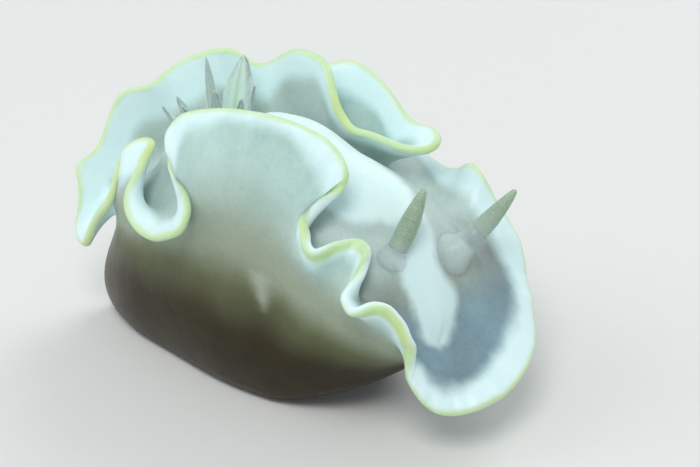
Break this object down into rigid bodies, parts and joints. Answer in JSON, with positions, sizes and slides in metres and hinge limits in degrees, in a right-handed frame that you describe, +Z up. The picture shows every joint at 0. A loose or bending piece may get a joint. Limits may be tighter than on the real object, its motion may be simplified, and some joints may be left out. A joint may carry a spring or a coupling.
{
  "type": "nudibranch still model",
  "caption": "Life-size still model of a humped white sea slug with a ruffled green-edged mantle, ringed feelers and a tuft of feathery gills.",
  "frame": {"origin": "middle of the flat sole of the foot, on the floor", "axes": "+X towards the head end, +Y the animal's left, +Z up"},
  "size_m": [0.0326, 0.0191, 0.0182],
  "materials": {
    "mantle": "wet, translucent, with a white band and a green edge",
    "back": "wet, opaque white patch on grey",
    "body": "wet, translucent olive and cream",
    "foot": "wet, translucent olive brown",
    "rhinophore": "wet grey green with white grains",
    "gill": "wet, translucent grey white"
  },
  "bodies": {
    "root": {"back_front": "back", "back_rear": "back", "flank_left": "body", "flank_papilla": "body", "flank_right": "body", "foot": "foot", "gill_branch_01": "gill", "gill_branch_02": "gill", "gill_branch_03": "gill", "gill_branch_04": "gill", "gill_branch_05": "gill", "gill_branch_06": "gill", "gill_branch_07": "gill", "gill_branch_08": "gill", "gill_pocket": "mantle", "head": "body", "mantle_front_lobe": "mantle", "mantle_left_front": "mantle", "mantle_left_lobe": "mantle", "mantle_left_notch": "mantle", "mantle_left_pod_far": "mantle", "mantle_left_pod_near": "mantle", "mantle_left_rear": "mantle", "mantle_left_wall": "mantle", "mantle_rear_fold": "mantle", "mantle_right_cup": "mantle", "mantle_right_fold_1": "mantle", "mantle_right_fold_2": "mantle", "mantle_right_wall_front": "mantle", "mantle_right_wall_rear": "mantle", "mantle_tail_lobe": "mantle", "oral_tentacle_left": "body", "oral_tentacle_right": "body", "rhinophore_left": "rhinophore", "rhinophore_right": "rhinophore", "rhinophore_sheath_left": "mantle", "rhinophore_sheath_right": "mantle", "tail": "foot", "vent": "gill"}
  },
  "joints": []
}
